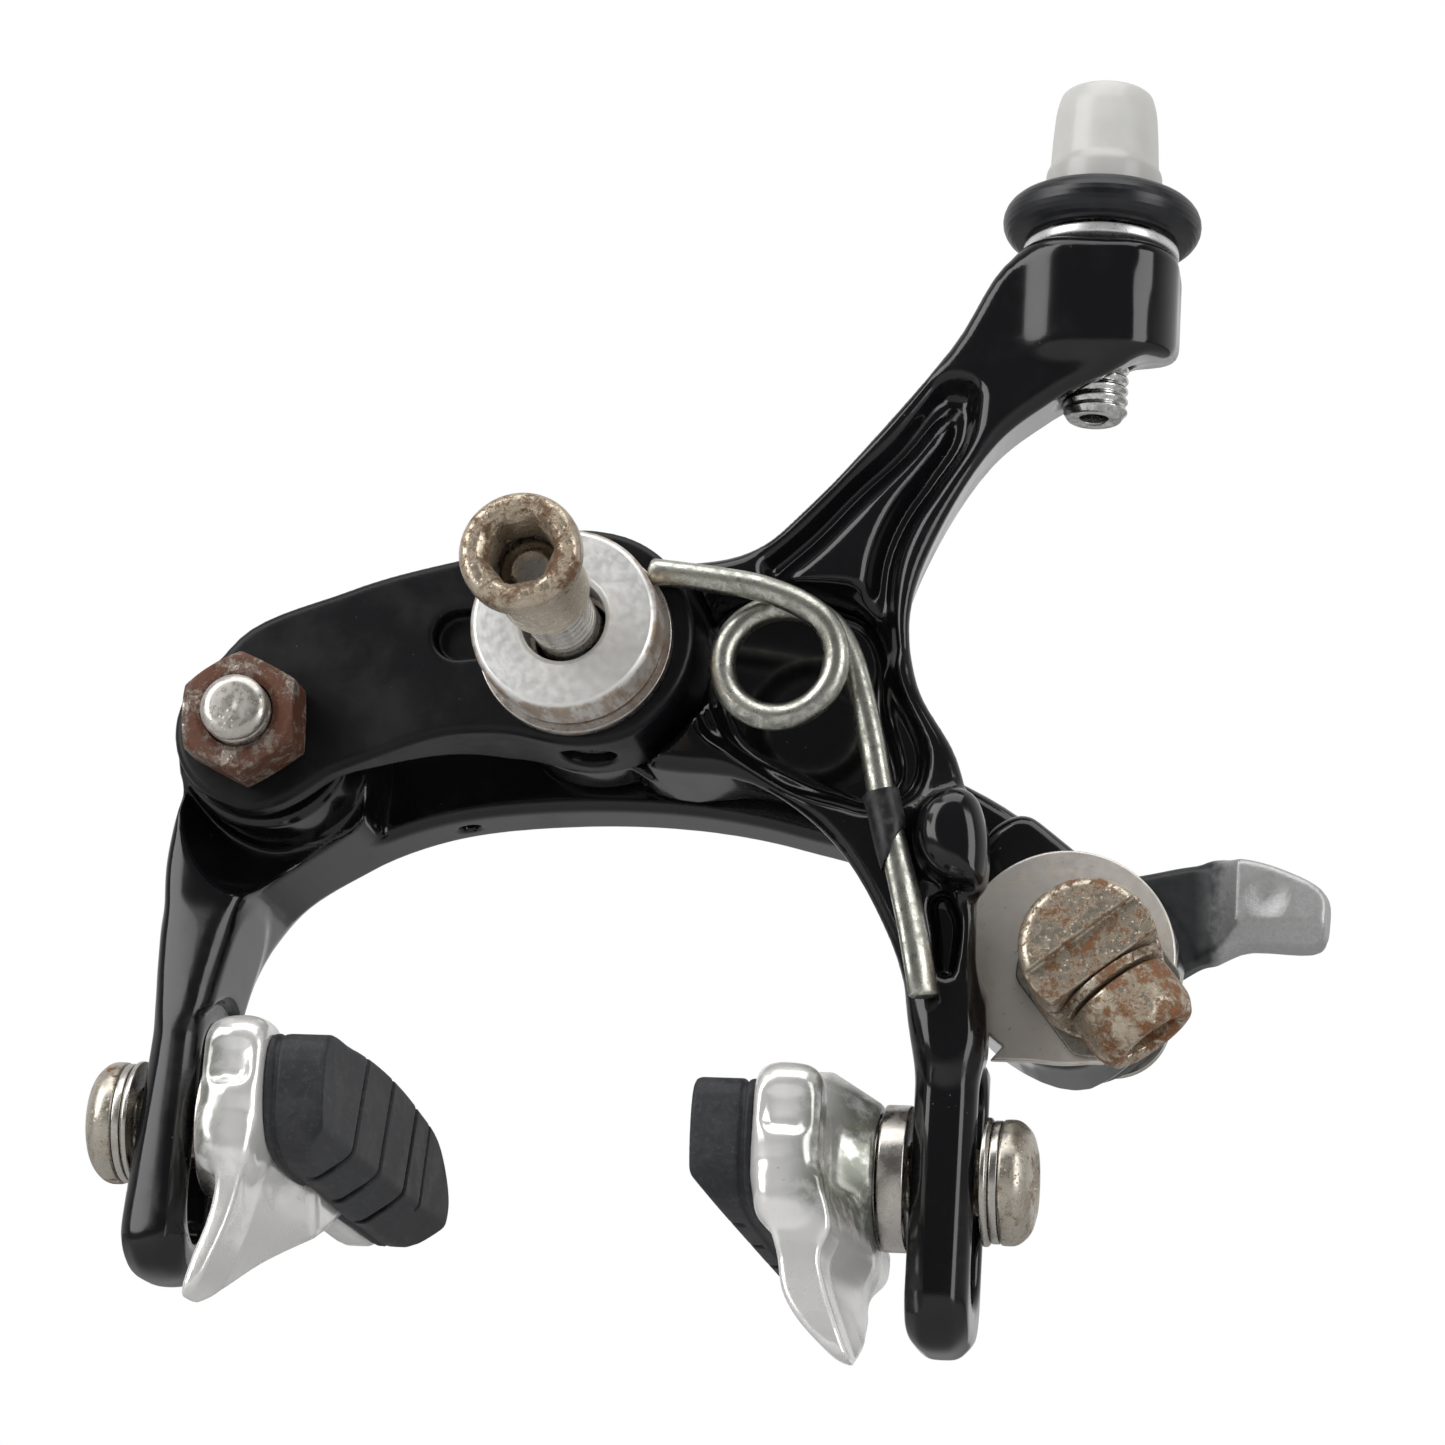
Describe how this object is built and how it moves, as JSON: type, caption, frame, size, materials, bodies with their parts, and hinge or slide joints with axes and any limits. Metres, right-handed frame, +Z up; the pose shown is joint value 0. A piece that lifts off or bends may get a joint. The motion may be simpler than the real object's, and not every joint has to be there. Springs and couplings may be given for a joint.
{
  "type": "bicycle rim brake caliper",
  "caption": "Dual-pivot side-pull rim brake caliper with barrel adjuster, quick-release cable anchor, return spring and adjustable brake shoes.",
  "frame": {"origin": "on the centre bolt's axis, in the near face of the aluminium spacer that rests on the fork crown or brake bridge", "axes": "+Z up towards the brake cable, +X right as seen from the fork side, +Y away from the fork along the centre bolt"},
  "size_m": [0.109, 0.0628, 0.1207],
  "materials": {
    "gloss_black": "gloss black paint over forged aluminium",
    "satin_black": "satin black paint",
    "aluminium": "turned",
    "polished_aluminium": "polished",
    "steel": "plain stainless",
    "zinc_plate": "zinc plated, slightly aged",
    "rusty_steel": "chromed steel with rust",
    "rubber": "matt",
    "black_plastic": "matt",
    "frosted_plastic": "frosted translucent"
  },
  "bodies": {
    "bracket": {"mount_bracket": "satin_black", "centring_screw": "satin_black", "bridge_spacer": "aluminium", "spacer_washer": "steel", "centre_bolt": "steel", "sleeve_nut": "rusty_steel", "centre_front_washer": "steel", "centre_lock_nut": "steel", "side_pivot_bolt": "rusty_steel", "side_pivot_nut": "rusty_steel", "side_pivot_washer": "rusty_steel"},
    "y_arm": {"arm_a": "gloss_black", "return_spring": "zinc_plate", "spring_sleeve": "black_plastic"},
    "ferrule": {"cable_ferrule": "frosted_plastic"},
    "adjuster": {"adjuster_barrel": "zinc_plate", "adjuster_washer": "polished_aluminium", "adjuster_o_ring": "rubber"},
    "c_arm": {"arm_b": "gloss_black"},
    "quick_release": {"quick_release_lever": "zinc_plate", "quick_release_washer": "steel"},
    "cable_anchor": {"anchor_post": "rusty_steel", "anchor_seat_washer": "steel", "anchor_clip": "steel", "cable_clamp_washer": "rusty_steel", "cable_clamp_screw": "rusty_steel"},
    "right_shoe_clamp": {"right_shoe_bolt": "zinc_plate", "right_inner_cone_washer": "steel", "right_inner_washer": "steel", "right_outer_cone_washer": "steel", "right_outer_washer": "steel"},
    "right_shoe": {"right_shoe_holder": "polished_aluminium", "right_rubber_pad": "rubber"},
    "left_shoe_clamp": {"left_shoe_bolt": "zinc_plate", "left_inner_cone_washer": "steel", "left_inner_washer": "steel", "left_outer_cone_washer": "steel", "left_outer_washer": "steel"},
    "left_shoe": {"left_shoe_holder": "polished_aluminium", "left_rubber_pad": "rubber"}
  },
  "joints": [
    {"name": "y_arm_pivot", "type": "hinge", "parent": "bracket", "child": "y_arm", "pos_m": [0, 0, 0], "axis": [0, 1, 0], "range_deg": [0, 8], "stiffness_Nm_per_rad": 1.5, "springref_deg": -28.65, "deforming": ["return_spring"]},
    {"name": "c_arm_pivot", "type": "hinge", "parent": "bracket", "child": "c_arm", "pos_m": [-0.0286, 0, -0.0086], "axis": [0, -1, 0], "range_deg": [0, 10.6]},
    {"name": "adjuster_travel", "type": "slide", "parent": "y_arm", "child": "ferrule", "axis": [0, 0, 1], "range_m": [0, 0.006]},
    {"name": "adjuster_turn", "type": "hinge", "parent": "ferrule", "child": "adjuster", "pos_m": [0.0439, 0.0162, 0.042], "axis": [0, 0, 1], "range_deg": [0, 2161]},
    {"name": "quick_release_turn", "type": "hinge", "parent": "c_arm", "child": "quick_release", "pos_m": [0.0433, 0.025, -0.0248], "axis": [0, 1, 0], "range_deg": [0, 60]},
    {"name": "anchor_swivel", "type": "hinge", "parent": "quick_release", "child": "cable_anchor", "pos_m": [0.0463, 0.02, -0.0267], "axis": [0, -1, 0], "range_deg": [0, 60]},
    {"name": "right_shoe_height", "type": "slide", "parent": "y_arm", "child": "right_shoe_clamp", "axis": [0, 0, 1], "range_m": [-0.004, 0.004]},
    {"name": "right_shoe_tilt", "type": "hinge", "parent": "right_shoe_clamp", "child": "right_shoe", "pos_m": [0.026, 0.0162, -0.0452], "axis": [1, 0, 0], "range_deg": [-8, 8]},
    {"name": "left_shoe_height", "type": "slide", "parent": "c_arm", "child": "left_shoe_clamp", "axis": [0, 0, 1], "range_m": [-0.004, 0.004]},
    {"name": "left_shoe_tilt", "type": "hinge", "parent": "left_shoe_clamp", "child": "left_shoe", "pos_m": [-0.0266, 0.0162, -0.0426], "axis": [1, 0, 0], "range_deg": [-8, 8]}
  ],
  "couplings": [
    {"joint": "c_arm_pivot", "follows": "y_arm_pivot", "ratio": 1.32},
    {"joint": "adjuster_turn", "follows": "adjuster_travel", "rad_per_m": 6283.2},
    {"joint": "anchor_swivel", "follows": "quick_release_turn", "ratio": 1}
  ]
}
